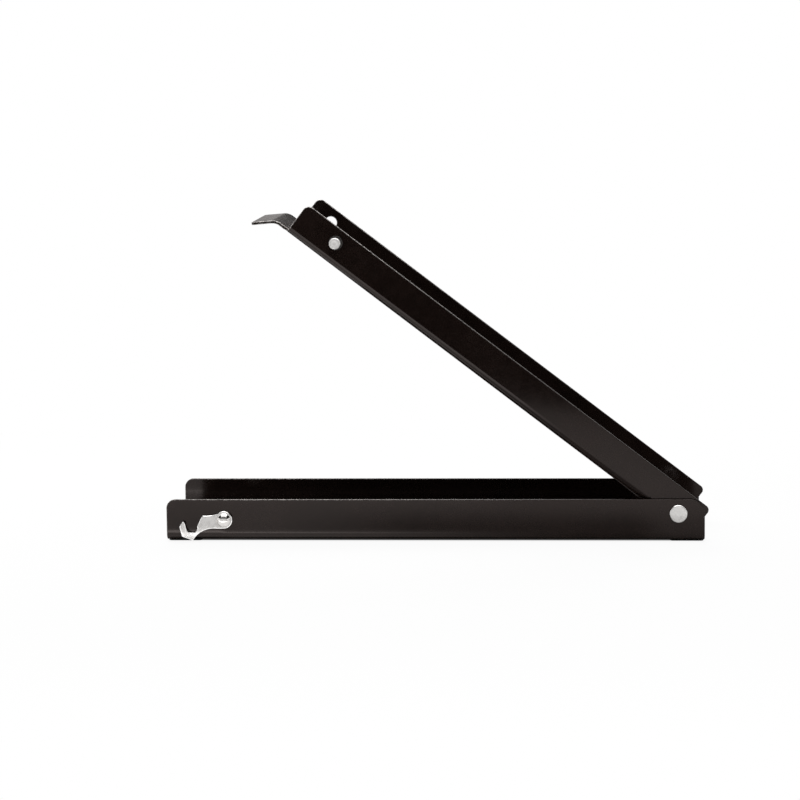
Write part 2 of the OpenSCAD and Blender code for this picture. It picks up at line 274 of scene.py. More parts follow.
@dataclass(frozen=True)
class Grain:
    """A texture that varies a finish.

    It has cells in a metre, octaves and the weight of the finer ones, weights in the finish's tone and
    relief, and a share by which it moves the roughness.
    """

    cells: float = 1.0
    octaves: float = 2.0
    finer: float = 0.5
    stretch: Triple = (1, 1, 1)
    turn: Triple = (0, 0, 0)
    tone: float = 0.0
    gloss: float = 0.0
    relief: float = 0.0
    texture: Texture = Texture.NOISE

    def draw(self, graph: Graph, centre: Triple = (0, 0, 0)) -> Value:
        """Returns the texture's values about a centre, which are about 0.5 for noise."""
        return graph.node(self.texture.value, None, {
            "Vector": graph.place(centre, self.stretch, self.turn),
            "Scale": self.cells, "Detail": self.octaves, "Roughness": self.finer,
        })


@dataclass(frozen=True)
class Finish:
    """A finish that is varied by grains, and that makes its material once.

    The other colour comes in over a range of the grains' tone, and their relief has a depth in metres.
    """

    name: str
    slot: Slot
    main: Colour
    other: Colour
    other_range: Span
    roughness: float
    depth: float
    grains: tuple[Grain, ...]
    metallic: float = 0.0
    _made: ClassVar[dict[str, bpy.types.Material]] = {}

    def surface(self, graph: Graph) -> Sockets:
        """Varies the colour, the gloss and the relief.

        Args:
            graph: the material's tree.

        Returns:
            The sockets of the Principled shader.
        """
        drawn = [(grain, grain.draw(graph)) for grain in self.grains]
        tone = sum(value * grain.tone for grain, value in drawn if grain.tone)
        gloss = sum((value - EVEN) * grain.gloss for grain, value in drawn if grain.gloss)
        relief = sum(value * grain.relief for grain, value in drawn if grain.relief)
        return {
            "Base Color": graph.blend(graph.smooth(tone, *self.other_range), self.main, self.other),
            "Metallic": self.metallic,
            "Roughness": self.roughness + gloss,
            "Normal": graph.bump(relief, self.depth),
        }

    def material(self) -> bpy.types.Material:
        """Makes the material, or finds it if it is made.

        Returns:
            The material.
        """
        if self.name not in self._made:
            made = bpy.data.materials.new(self.name)
            graph = Graph(made)
            graph.output(graph.node("ShaderNodeBsdfPrincipled", None, self.surface(graph)))
            self._made[self.name] = made
        return self._made[self.name]


@dataclass(frozen=True)
class Enamel(Finish):
    """Semi-gloss black enamel with orange peel and dust, brown where light comes through it thinly."""

    name: str = "black_enamel"
    slot: Slot = Slot.PAINT
    main: Colour = (0.0092, 0.0056, 0.0046)
    other: Colour = (0.0148, 0.0090, 0.0074)
    other_range: Span = (0.36, 0.64)
    roughness: float = 0.1
    depth: float = 2.2e-6
    grains: tuple[Grain, ...] = (
        Grain(16.0, 3.0, tone=0.6, gloss=0.04),
        Grain(140.0, 4.0, 0.6, tone=0.4, gloss=0.05, relief=0.25),
        Grain(520.0, relief=0.75),
    )
    index: float = 1.42
    sheen: Colour = (1.0, 0.88, 0.84)
    dust: Colour = (0.05, 0.045, 0.042)
    dust_grain: Grain = Grain(2600.0, 1.0)
    dust_range: Span = (0.66, 0.74)
    dust_cover: float = 0.35

    def surface(self, graph: Graph) -> Sockets:
        """Lays dust on the paint and tints its gloss.

        Args:
            graph: the material's tree.

        Returns:
            The sockets of the Principled shader.
        """
        plain = super().surface(graph)
        dust = graph.smooth(self.dust_grain.draw(graph), *self.dust_range) * self.dust_cover
        plain["Base Color"] = graph.blend(dust, plain["Base Color"], self.dust)
        return {**plain, "IOR": self.index, "Specular Tint": (*self.sheen, 1)}


@dataclass(frozen=True)
class RimHighlightEnamel(Enamel):
    """Enamel on the sheared edges, with a painted highlight: steel colour and metal let into the paint in
    patches, strongest at the left end and gone towards the right.
    """

    name: str = "worn_enamel_edge"
    # Painted highlight: this steel colour comes in, full at one X in metres and gone at another, in patches
    steel: Colour = (0.5, 0.48, 0.46)
    highlight_full_at: float = -0.11
    highlight_gone_at: float = 0.1
    most: float = 0.5
    patch: Grain = Grain(700.0, 3.0)
    patch_range: Span = (0.3, 0.6)

    def surface(self, graph: Graph) -> Sockets:
        """Paints the highlight as steel let through the paint in patches.

        Args:
            graph: the material's tree.

        Returns:
            The sockets of the Principled shader.
        """
        plain = super().surface(graph)
        patches = graph.smooth(self.patch.draw(graph), *self.patch_range)
        # Painted highlight along the rims, most at the left end, where light catches them
        painted_highlight = graph.smooth(graph.axis("X"), self.highlight_full_at, self.highlight_gone_at, (self.most, 0.0)) * patches
        return {**plain, "Base Color": graph.blend(painted_highlight, plain["Base Color"], self.steel), "Metallic": painted_highlight}


def plate_grains(turn: Triple = (0, 0, 0)) -> tuple[Grain, ...]:
    """Returns the rolling streaks of a plated part, at a turn in radians, and its clouds."""
    streaks = Grain(stretch=(260.0, 3000.0, 2600.0), turn=turn, gloss=0.16, relief=0.7)
    return streaks, Grain(210.0, 4.0, 0.6, tone=1.0, gloss=0.1, relief=0.3)


@dataclass(frozen=True)
class BrightPlate(Finish):
    """Bright nickel plate with fine scratches, over a stamped or turned steel part."""

    name: str = "bright_nickel_plate"
    slot: Slot = Slot.NICKEL
    main: Colour = (0.83, 0.81, 0.79)
    other: Colour = (0.70, 0.68, 0.66)
    other_range: Span = (0.35, 0.7)
    roughness: float = 0.17
    depth: float = 6e-6
    grains: tuple[Grain, ...] = plate_grains()
    metallic: float = 1.0
    scratch: Grain = Grain(stretch=(900.0, 900.0, 9000.0), turn=(0.3, 0.8, 0.2))
    scratch_range: Span = (0.68, 0.76)
    scratch_gloss: float = 0.12

    def surface(self, graph: Graph) -> Sockets:
        """Scratches the plate.

        Args:
            graph: the material's tree.

        Returns:
            The sockets of the Principled shader.
        """
        plain = super().surface(graph)
        scratched = graph.smooth(self.scratch.draw(graph), *self.scratch_range) * self.scratch_gloss
        return {**plain, "Roughness": plain["Roughness"] + scratched}


@dataclass(frozen=True)
class TurnedPlate(BrightPlate):
    """Bright plate over a turned face, with the tool's rings about an axis along Y and painted shade at the
    root.

    The painted shade starts and is full at two depths behind the centre, out of reach unless they are set.
    """

    name: str = "turned_nickel_plate"
    main: Colour = (0.96, 0.94, 0.92)
    other: Colour = (0.88, 0.86, 0.84)
    roughness: float = 0.2
    centre: Triple = (0.0, 0.0, 0.0)
    pitch: float = 0.00055
    wobble: float = 0.9
    wobble_grain: Grain = Grain(900.0, 1.0)
    ring_depth: float = 4e-6
    ring_gloss: float = 0.07
    ring_tint: float = 0.0
    ring_colour: Colour = (0.3, 0.29, 0.28)
    # Painted shade at the root: the colour darkens between two depths along Y
    painted_shade_at: Span = (1.0, 2.0)
    painted_shade_colour: Colour = (0.012, 0.009, 0.008)
    painted_shade_cover: float = 0.94

    def surface(self, graph: Graph) -> Sockets:
        """Lays tool rings over the plain plate.

        Args:
            graph: the material's tree.

        Returns:
            The sockets of the Principled shader.
        """
        plain = super().surface(graph)
        radius = graph.length(graph.place(self.centre, (1, 0, 1)))
        wobble = self.wobble_grain.draw(graph, self.centre) * self.wobble
        rings = (radius * (2 * math.pi / self.pitch) + wobble).sine() * EVEN + EVEN
        # Painted shade darkening the root, where the rim shades it
        root = graph.smooth(graph.axis("Y", self.centre), *self.painted_shade_at) * self.painted_shade_cover
        ringed = graph.blend(rings * self.ring_tint, plain["Base Color"], self.ring_colour)
        return {
            **plain,
            "Base Color": graph.blend(root, ringed, self.painted_shade_colour),
            "Roughness": plain["Roughness"] + rings * self.ring_gloss,
            "Normal": graph.bump(rings, self.ring_depth, plain["Normal"]),
        }


@dataclass(frozen=True)
class DullZinc(Finish):
    """Dull zinc plate with a faint spangle and rub marks."""

    name: str = "dull_zinc_plate"
    slot: Slot = Slot.ZINC
    main: Colour = (0.62, 0.63, 0.65)
    other: Colour = (0.44, 0.45, 0.47)
    other_range: Span = (0.2, 0.6)
    roughness: float = 0.4
    depth: float = 1e-5
    grains: tuple[Grain, ...] = (
        Grain(900.0, 0.0, tone=0.6, texture=Texture.CELLS),
        Grain(1500.0, 3.0, tone=0.4, gloss=0.2, relief=1.0),
    )
    metallic: float = 1.0


@dataclass(frozen=True)
class PadRubber(Finish):
    """Matt black rubber with a fine moulded grain and a little dust."""

    name: str = "pad_rubber"
    slot: Slot = Slot.RUBBER
    main: Colour = (0.012, 0.012, 0.012)
    other: Colour = (0.035, 0.033, 0.031)
    other_range: Span = (0.5, 0.75)
    roughness: float = 0.72
    depth: float = 4e-5
    grains: tuple[Grain, ...] = (Grain(240.0, 4.0, tone=1.0), Grain(1800.0, 3.0, gloss=0.2, relief=1.0))


# Bench work, in millimetres and degrees

TOUCH = 1e-3
JOIN = 5 * TOUCH
FLAT_ANGLE = 0.4
TURNED_ANGLE = 25.0
EDGE_ANGLE = 35.0
SHADE_ANGLE = 48.0
RIM_ANGLE = 60.0
TURNED_STEPS = 72
HOLE_STEPS = 8
EDGE_STEPS = 3
FINE_STEPS = 2
TAIL_CHAMFER = 0.5
# Number of the finish on a piece's rounded rims, where it has one of its own; on the channels and the hook
# that finish carries a painted highlight
RIM_FINISH = 1

Vert = bmesh.types.BMVert
Edge = bmesh.types.BMEdge


def only(kind: type, items: Iterable[Any]) -> list[Any]:
    """Returns the items that are of one kind."""
    return [item for item in items if isinstance(item, kind)]


def ends_of(edges: Iterable[Edge]) -> list[Vert]:
    """Returns the vertices at the ends of edges, each once."""
    return list(dict.fromkeys(vert for edge in edges for vert in edge.verts))


def peened_tail(radius: float, end: float) -> list[Span]:
    """Returns the profile of a rivet's peened tail, from its side to its middle."""
    return [(radius, end + TAIL_CHAMFER), (radius - TAIL_CHAMFER, end), (0.0, end)]


def put_in_scene(name: str, data: bpy.types.ID) -> bpy.types.Object:
    """Makes an object and puts it in the scene.

    Args:
        name: its name.
        data: its mesh, lamp or camera.

    Returns:
        The object.
    """
    item = bpy.data.objects.new(name, data)
    bpy.context.scene.collection.objects.link(item)
    return item


def mesh_item(name: str, bm: bmesh.types.BMesh, *materials: bpy.types.Material) -> bpy.types.Object:
    """Turns a mesh from the bench into an object.

    Args:
        name: its name.
        bm: the mesh, which is freed.
        materials: its materials, in the order of their numbers.

    Returns:
        The object.
    """
    mesh = bpy.data.meshes.new(name)
    bm.to_mesh(mesh)
    bm.free()
    for material in materials:
        mesh.materials.append(material)
    return put_in_scene(name, mesh)


class Blank:
    """A workpiece on the bench: a mesh in millimetres and the steps that shape it."""

    def __init__(self) -> None:
        """Lays an empty workpiece on the bench."""
        self.bm = bmesh.new()

    @classmethod
    def turned(cls, profile: Sequence[Span]) -> "Blank":
        """Turns a part on the Y axis.

        Args:
            profile: pairs of radius and distance to the front.

        Returns:
            The turned part, with its seat at the origin.
        """
        blank = cls()
        bm = blank.bm
        blank.chain([(radius, -front, 0.0) for radius, front in profile])
        bmesh.ops.spin(bm, geom=bm.verts[:] + bm.edges[:], cent=(0, 0, 0), axis=AXIS_Y, angle=2 * math.pi,
                       steps=TURNED_STEPS, use_merge=True)
        bmesh.ops.remove_doubles(bm, verts=bm.verts[:], dist=TOUCH)
        bmesh.ops.recalc_face_normals(bm, faces=bm.faces[:])
        return blank

    @classmethod
    def ring(cls, inner: float, outer: float, thick: float, back: float, edge: float) -> "Blank":
        """Turns a spacer or a washer.

        Args:
            inner: its inner radius.
            outer: its outer radius.
            thick: its thickness.
            back: the distance of its back face behind the seat.
            edge: the round of its edges.

        Returns:
            The ring.
        """
        front = thick - back
        blank = cls.turned([(inner, -back), (outer, -back), (outer, front), (inner, front), (inner, -back)])
        blank.soften(edge, FINE_STEPS)
        return blank

    def chain(self, points: Iterable[Point]) -> list[Edge]:
        """Draws a line through points, and returns its edges."""
        verts = [self.bm.verts.new(point) for point in points]
        return [self.bm.edges.new(pair) for pair in zip(verts, verts[1:])]

    def pull(self, edges: Iterable[Edge], step: Point) -> list[Edge]:
        """Pulls faces out of edges.

        Args:
            edges: the edges.
            step: how far they go.

        Returns:
            The edges at the far side.
        """
        made = bmesh.ops.extrude_edge_only(self.bm, edges=list(edges))["geom"]
        bmesh.ops.translate(self.bm, verts=only(Vert, made), vec=step)
        return only(Edge, made)

    def verts_where(self, test: Callable[[Vector], bool]) -> list[Vert]:
        """Returns the vertices whose place passes a test."""
        return [vert for vert in self.bm.verts if test(vert.co)]

    def verts_at(self, points: Iterable[Point]) -> list[Vert]:
        """Returns the vertices that lie at points."""
        places = [Vector(point) for point in points]
        return self.verts_where(lambda co: any((co - place).length < TOUCH for place in places))

    def edges_where(self, test: Callable[[Vector], bool]) -> list[Edge]:
        """Returns the edges whose two ends pass a test."""
        return [edge for edge in self.bm.edges if all(test(vert.co) for vert in edge.verts)]

    def sharp_edges(self, beyond: float) -> list[Edge]:
        """Returns the edges that are sharper than an angle in degrees."""
        limit = math.radians(beyond)
        return [edge for edge in self.bm.edges if edge.is_manifold and edge.calc_face_angle() > limit]

    def bevel(self, geom: Iterable[Any], size: float, steps: int, on: Round = Round.EDGES,
              finish: int = 0) -> None:
        """Rounds edges or corners.

        Args:
            geom: the edges or vertices.
            size: the radius at a square corner.
            steps: steps in the round.
            on: which of the two they are.
            finish: the number of the round's finish.
        """
        made = bmesh.ops.bevel(self.bm, geom=list(geom), offset=size, offset_type="OFFSET", segments=steps,
                               profile=0.5, affect=on.value, material=-1, clamp_overlap=True,
                               loop_slide=False)
        if finish:
            for face in made["faces"]:
                face.material_index = finish

    def soften(self, size: float, steps: int = EDGE_STEPS, beyond: float = EDGE_ANGLE,
               finish: int = 0) -> None:
        """Rounds every edge that is sharper than an angle in degrees."""
        self.bevel(self.sharp_edges(beyond), size, steps, finish=finish)

    def punch(self, centre: Point, radius: float) -> None:
        """Punches a round hole through a sheet that stands square to Y.

        Args:
            centre: the middle of the hole.
            radius: its radius.
        """
        middle = Vector(centre)
        for axis, sign in product((AXIS_X, AXIS_Z), (-1, 1)):
            face = self._face_at(middle)
            bmesh.ops.bisect_plane(self.bm, geom=[face, *face.edges, *face.verts], dist=TOUCH,
                                   plane_co=middle + sign * radius * axis, plane_no=axis)
        plug = self._face_at(middle)
        bmesh.ops.bisect_edges(self.bm, edges=plug.edges[:], cuts=HOLE_STEPS - 1)
        for vert in plug.verts:
            vert.co = middle + (vert.co - middle).normalized() * radius
        bmesh.ops.delete(self.bm, geom=[plug], context="FACES_ONLY")

    def _face_at(self, point: Vector) -> bmesh.types.BMFace:
        """Returns the face that a point lies in."""
        self.bm.normal_update()
        return next(face for face in self.bm.faces
                    if abs((point - face.verts[0].co).dot(face.normal)) < TOUCH
                    and bmesh.geometry.intersect_face_point(face, point))

    def sweep(self, vert: Vert, centre: Point, angle: float, steps: int) -> Vert:
        """Draws an arc of so many radians from a vertex, about an axis along Y, and returns its end."""
        made = bmesh.ops.spin(self.bm, geom=[vert], cent=centre, axis=AXIS_Y, angle=angle, steps=steps)
        return only(Vert, made["geom_last"])[0]

    def draw_to(self, vert: Vert, point: Point) -> Vert:
        """Draws a straight line from a vertex, and returns its end."""
        return self.bm.edges.new((vert, self.bm.verts.new(point))).other_vert(vert)

    def thicken(self, depth: float, outside: Vector) -> list[Edge]:
        """Gives a bent sheet its thickness, on the inside.

        Args:
            depth: the thickness of the sheet.
            outside: a direction that the largest face looks in from outside.

        Returns:
            The edges round its outer skin.
        """
        bm = self.bm
        bmesh.ops.remove_doubles(bm, verts=bm.verts[:], dist=TOUCH)
        bmesh.ops.recalc_face_normals(bm, faces=bm.faces[:])
        widest = max(bm.faces, key=lambda face: abs(face.normal.dot(outside)) * face.calc_area())
        if widest.normal.dot(outside) < 0:
            bmesh.ops.reverse_faces(bm, faces=bm.faces[:])
        skin = bm.faces[:]
        bmesh.ops.solidify(bm, geom=skin, thickness=depth)
        bmesh.ops.recalc_face_normals(bm, faces=bm.faces[:])
        outer = {edge for face in skin for edge in face.edges}
        return [edge for edge in self.sharp_edges(RIM_ANGLE) if edge in outer]

    def place(self, matrix: Matrix) -> "Blank":
        """Moves the whole workpiece, and returns it."""
        bmesh.ops.transform(self.bm, matrix=matrix, verts=self.bm.verts[:])
        return self

    def deliver(self, node: str, body: Body, finish: Finish, *more: Finish) -> None:
        """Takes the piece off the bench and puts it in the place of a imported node.

        Args:
            node: the node that it stands for.
            body: the body that it rides on.
            finish: its finish.
            more: finishes of faces that have their own number.
        """
        name = f"{node}_{finish.slot.value}"
        self.place(Matrix.Scale(MM, 4))
        piece = mesh_item(name, self.bm, *(item.material() for item in (finish, *more)))
        mesh = piece.data
        mesh.shade_smooth()
        mesh.set_sharp_from_angle(angle=math.radians(SHADE_ANGLE))
        weighted = piece.modifiers.new("even_normals", "WEIGHTED_NORMAL")
        weighted.keep_sharp = True
        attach(piece, body.value)
        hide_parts(node)
        LOG.info("%s: %d faces on body %s", name, len(mesh.polygons), body.value)


def joint_place(name: str) -> Vector:
    """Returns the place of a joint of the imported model, in millimetres."""
    joint = next(joint for joint in frame["joints"] if joint["name"] == name)
    return Vector(joint["pos_m"]) / MM


def middle_of(node: str) -> Triple:
    """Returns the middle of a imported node's box, in metres."""
    low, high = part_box(node)
    return tuple((low + high) / 2)


# Sub-assemblies, in millimetres and degrees


@dataclass
class Sheet:
    """What both channels have in common."""

    thick: float = 2.0
    bend: float = 5.0
    bend_steps: int = 10
    outer_edge: float = 1.0
    outer_steps: int = 4
    inner_edge: float = 0.6
    finish: Finish = Enamel()

    def gauge(self, blank: Blank) -> None:
        """Gives the bent sheet its thickness, with rolled outer edges and crisper inner ones."""
        blank.bevel(blank.thicken(self.thick, -AXIS_Z), self.outer_edge, self.outer_steps, finish=RIM_FINISH)
        blank.soften(self.inner_edge, finish=RIM_FINISH)


@dataclass
class BaseChannel(Sheet):
    """The lower channel, which lies on the table."""

    length: float = 381.0
    width: float = 101.6
    height: float = 29.0
    floor: float = 1.5
    corner: float = 6.3
    hinge_corner: float = 10.5
    corner_steps: int = 12
    hinge_hole: float = 3.05
    latch_hole: float = 2.55
    # The rims' finish, with a painted highlight towards the left end
    rim_highlight: Finish = RimHighlightEnamel()

    def build(self) -> Blank:
        """Bends the sheet, shapes its ends and punches its holes.

        Returns:
            The channel.
        """
        blank = Blank()
        end, side, top = self.length / 2, self.width / 2, self.floor + self.height
        section = blank.chain([(-end, -side, top), (-end, -side, self.floor), (-end, side, self.floor),
                               (-end, side, top)])
        blank.pull(section, (self.length, 0, 0))
        lower = blank.edges_where(lambda co: abs(co.z - self.floor) < TOUCH and abs(abs(co.y) - side) < TOUCH)
        blank.bevel(lower, self.bend, self.bend_steps)
        for x, radius in ((-end, self.corner), (end, self.hinge_corner)):
            corners = blank.verts_at(product((x,), (-side, side), (top,)))
            blank.bevel(corners, radius, self.corner_steps, Round.CORNERS)
        hinge, latch = joint_place("arm_hinge"), joint_place("latch_swing")
        for y in (-side, side):
            blank.punch((hinge.x, y, hinge.z), self.hinge_hole)
        blank.punch((latch.x, -side, latch.z), self.latch_hole)
        self.gauge(blank)
        return blank

    def dress(self) -> None:
        """Puts the channel in the scene."""
        self.build().deliver("base_channel", Body.BASE, self.finish, self.rim_highlight)


@dataclass
class PressArm(Sheet):
    """The upper channel, with its hinge ears and its push lip, in a frame on the hinge."""

    length: float = 339.0
    width: float = 95.0
    above: float = 15.9
    below: float = 8.6
    corner: float = 5.0
    corner_steps: int = 10
    web_end: float = 31.0
    trim: float = 10.0
    ear_back: float = 16.4
    ear_corner: float = 3.5
    ear_corner_steps: int = 8
    ear_heel: float = 13.0
    ear_heel_steps: int = 14
    lobe: float = 8.2
    lobe_steps: int = 20
    lean: float = 37.5
    lip_flat: float = 6.8
    lip_bend: float = 8.0
    lip_bend_steps: int = 12
    lip_angle: float = 42.0
    lip_run: float = 14.2
    lip_inset: float = 2.5
    lip_corner: float = 2.5
    lip_corner_steps: int = 6
    relief: float = 1.4
    hinge_hole: float = 3.05
    stud_at: Span = (-306.9, 6.0)
    stud_hole: float = 3.05
    hang_at: Span = (-321.0, 6.0)
    hang_hole: float = 4.5
    # The rims' finish, with a stronger painted highlight towards the lip end
    rim_highlight: Finish = RimHighlightEnamel(name="worn_enamel_arm", most=0.75, highlight_gone_at=0.15)

    @property
    def ear_low(self) -> float:
        """Height of the ears' lower edges."""
        return self.bend - self.below

    @property
    def stance(self) -> Matrix:
        """The move from the arm's own frame to its place on the hinge."""
        return Matrix.Translation(joint_place("arm_hinge")) @ Matrix.Rotation(math.radians(self.lean), 4, "Y")

    def build(self) -> Blank:
        """Bends the sheet, shapes ears and lip, and punches the holes.

        Returns:
            The arm, at the angle that it stands at.
        """
        blank = Blank()
        start, side = -self.length, self.width / 2
        section = blank.chain([(start, -side, self.above), (start, -side, -self.below),
                               (start, side, -self.below), (start, side, self.above)])
        blank.pull(section, (self.length - self.web_end, 0, 0))
        lower = blank.edges_where(lambda co: abs(co.z + self.below) < TOUCH and abs(abs(co.y) - side) < TOUCH)
        blank.bevel(lower, self.bend, self.bend_steps)
        self._trim_web(blank)
        for y in (-side, side):
            self._add_ear(blank, y)
        corners = blank.verts_at(product((start,), (-side, side), (self.above,)))
        blank.bevel(corners, self.corner, self.corner_steps, Round.CORNERS)
        self._add_lip(blank, start)
        for y in (-side, side):
            blank.punch((0, y, 0), self.hinge_hole)
        blank.punch((self.stud_at[0], -side, self.stud_at[1]), self.stud_hole)
        blank.punch((self.hang_at[0], side, self.hang_at[1]), self.hang_hole)
        self.gauge(blank)
        return blank.place(self.stance)

    def _trim_web(self, blank: Blank) -> None:
        """Trims the bends at the web's end to a round.

        Args:
            blank: the bent sheet.
        """
        for vert in blank.verts_where(lambda co: abs(co.x + self.web_end) < TOUCH):
            rise = min(max(vert.co.z + self.below, 0.0), self.bend)
            vert.co.x += math.sqrt(self.trim ** 2 - (self.trim - rise) ** 2)

    def _add_ear(self, blank: Blank, y: float) -> None:
        """Runs a flange on into its hinge ear.

        Args:
            blank: the bent sheet.
            y: the flange's plane.
        """
        half = math.sqrt(self.lobe ** 2 - self.ear_low ** 2)
        edge = blank.edges_where(lambda co: (abs(co.y - y) < TOUCH and co.z > self.ear_low - TOUCH
                                             and co.x > -self.web_end))
        edge = blank.pull(edge, (-half - edge[0].verts[0].co.x, 0, 0))
        upper = blank.verts_at([(-half, y, self.above)])[0]
        known = set(blank.bm.edges)
        corner = (self.ear_back - self.ear_corner, y, self.above - self.ear_corner)
        heel = Vector((self.ear_back - self.ear_heel, y, self.ear_low + self.ear_heel))
        meet = self._heel_end(heel)
        vert = blank.draw_to(upper, (corner[0], y, self.above))
        vert = blank.sweep(vert, corner, math.pi / 2, self.ear_corner_steps)
        vert = blank.draw_to(vert, (self.ear_back, y, heel.z))
        vert = blank.sweep(vert, heel, math.atan2(heel.z - meet.z, meet.x - heel.x), self.ear_heel_steps)
        turn = math.pi - math.atan2(-self.ear_low, half) - math.atan2(-meet.z, meet.x)
        blank.sweep(vert, (0, y, 0), turn, self.lobe_steps)
        outline = [item for item in blank.bm.edges if item not in known]
        bmesh.ops.remove_doubles(blank.bm, verts=blank.bm.verts[:], dist=JOIN)
        bmesh.ops.contextual_create(blank.bm, geom=[item for item in [*edge, *outline] if item.is_valid])

    def _heel_end(self, heel: Vector) -> Vector:
        """Finds where the round of an ear's heel meets the lobe.

        Args:
            heel: the middle of the heel's round.

        Returns:
            The lower of the two points that both circles share.
        """
        reach = math.hypot(heel.x, heel.z)
        along = (self.lobe ** 2 - self.ear_heel ** 2 + reach ** 2) / (2 * reach)
        off = math.sqrt(self.lobe ** 2 - along ** 2)
        unit = Vector((heel.x, 0, heel.z)) / reach
        return Vector((along * unit.x + off * unit.z, heel.y, along * unit.z - off * unit.x))

    def _add_lip(self, blank: Blank, start: float) -> None:
        """Runs the web on into the push lip.

        Args:
            blank: the bent sheet.
            start: the end of the flanges.
        """
        half = self.width / 2 - self.bend
        wide = self.width / 2 - self.lip_inset
        edge = blank.edges_where(lambda co: abs(co.x - start) < TOUCH and abs(co.z + self.below) < TOUCH)
        edge = blank.pull(edge, (-self.relief, 0, 0))
        edge = blank.pull(edge, (-self.relief, 0, 0))
        bmesh.ops.scale(blank.bm, verts=ends_of(edge), vec=(1, wide / half, 1))
        edge = blank.pull(edge, (2 * self.relief - self.lip_flat, 0, 0))
        centre = (start - self.lip_flat, 0, -self.below - self.lip_bend)
        angle = math.radians(self.lip_angle)
        turned = bmesh.ops.spin(blank.bm, geom=[*edge, *ends_of(edge)], cent=centre, axis=AXIS_Y,
                                angle=-angle, steps=self.lip_bend_steps)
        edge = only(Edge, turned["geom_last"])
        edge = blank.pull(edge, (-self.lip_run * math.cos(angle), 0, -self.lip_run * math.sin(angle)))
        blank.bevel(ends_of(edge), self.lip_corner, self.lip_corner_steps, Round.CORNERS)

    def dress(self) -> None:
        """Puts the arm in the scene."""
        self.build().deliver("press_arm", Body.ARM, self.finish, self.rim_highlight)


@dataclass
class Hinge:
    """Two flat-headed rivets, with the spacers and washers on them."""

    base: BaseChannel
    head: float = 6.3
    head_thick: float = 2.0
    head_chamfer: Span = (0.4, 0.6)
    crown: float = 0.11
    shank: float = 3.0
    grip: float = 6.4
    tail: float = 4.7
    tail_thick: float = 1.4
    edge: float = 0.22
    spacer: float = 8.2
    spacer_thick: float = 1.2
    washer: float = 6.2
    washer_thick: float = 1.0
    ring_edge: float = 0.15
    clear: float = 0.05

    def seat(self, side: Side) -> Matrix:
        """Returns the place of the base's outer face at the hinge, with -Y outwards."""
        at = joint_place("arm_hinge") + Vector((0, side.value * self.base.width / 2, 0))
        return Matrix.Translation(at) @ Matrix.Rotation(math.pi if side is Side.REAR else 0.0, 4, "Z")

    def rivet(self) -> Blank:
        """Turns a rivet with a slightly crowned head.

        Returns:
            The rivet.
        """
        across, down = self.head_chamfer
        blank = Blank.turned([
            (0.0, self.head_thick), (self.head / 2, self.head_thick - self.crown / 4),
            (self.head - across, self.head_thick - self.crown), (self.head, self.head_thick - down),
            (self.head, 0.0), (self.shank, 0.0), (self.shank, -self.grip), (self.tail, -self.grip),
            *peened_tail(self.tail, -self.grip - self.tail_thick),
        ])
        blank.soften(self.edge, beyond=TURNED_ANGLE)
        return blank

    def finish(self, node: str) -> TurnedPlate:
        """Returns the finish of a rivet, with its rings about the rivet's own axis."""
        return TurnedPlate(name=node.replace("hinge_rivet", "turned_nickel_hinge"), centre=middle_of(node))

    def dress(self) -> None:
        """Puts both halves of the hinge in the scene."""
        inner = self.shank + self.clear
        spacer_back = self.base.thick + self.spacer_thick
        for side in Side:
            seat, name = self.seat(side), side.name.lower()
            rivet = f"hinge_rivet_{name}"
            self.rivet().place(seat).deliver(rivet, Body.BASE, self.finish(rivet))
            spacer = Blank.ring(inner, self.spacer, self.spacer_thick, spacer_back, self.ring_edge)
            spacer.place(seat).deliver(f"hinge_spacer_{name}", Body.BASE, DullZinc())
            washer = Blank.ring(inner, self.washer, self.washer_thick, self.grip, self.ring_edge)
            washer.place(seat).deliver(f"hinge_washer_{name}", Body.BASE, DullZinc())


@dataclass
class CatchStud:
    """The turned stud on the arm that the hook holds."""

    arm: PressArm
    collar: float = 5.0
    collar_thick: float = 0.7
    neck: float = 3.5
    rim: float = 4.0
    rim_thick: float = 1.3
    rim_chamfer: float = 0.5
    length: float = 9.6
    dimple: float = 0.9
    dimple_deep: float = 0.35
    shank: float = 3.0
    tail_thick: float = 1.4
    edge: float = 0.14

    def build(self) -> Blank:
        """Turns the stud, with its rim, its collar and its peened tail.

        Returns:
            The stud, in its place on the arm.
        """
        step, back = self.length - self.rim_thick, -self.arm.thick
        blank = Blank.turned([
            (0.0, self.length - self.dimple_deep), (self.dimple, self.length),
            (self.rim - self.rim_chamfer, self.length), (self.rim, self.length - self.rim_chamfer),
            (self.rim, step), (self.neck, step), (self.neck, self.collar_thick),
            (self.collar, self.collar_thick), (self.collar, 0.0), (self.shank, 0.0), (self.shank, back),
            (self.collar, back), *peened_tail(self.collar, back - self.tail_thick),
        ])
        blank.soften(self.edge, FINE_STEPS, TURNED_ANGLE)
        x, z = self.arm.stud_at
        return blank.place(self.arm.stance @ Matrix.Translation((x, -self.arm.width / 2, z)))

    def finish(self) -> TurnedPlate:
        """Returns the stud's finish, with coarse rings and painted shade at the root, under the rim."""
        return TurnedPlate(name="turned_nickel_stud", centre=middle_of("catch_stud"), pitch=0.0027,
                           ring_depth=4e-5, ring_tint=0.22, roughness=0.5, main=(0.98, 0.96, 0.94),
                           other=(0.86, 0.84, 0.82), painted_shade_at=(0.0005, 0.002))

    def dress(self) -> None:
        """Puts the stud in the scene."""
        self.build().deliver("catch_stud", Body.ARM, self.finish())


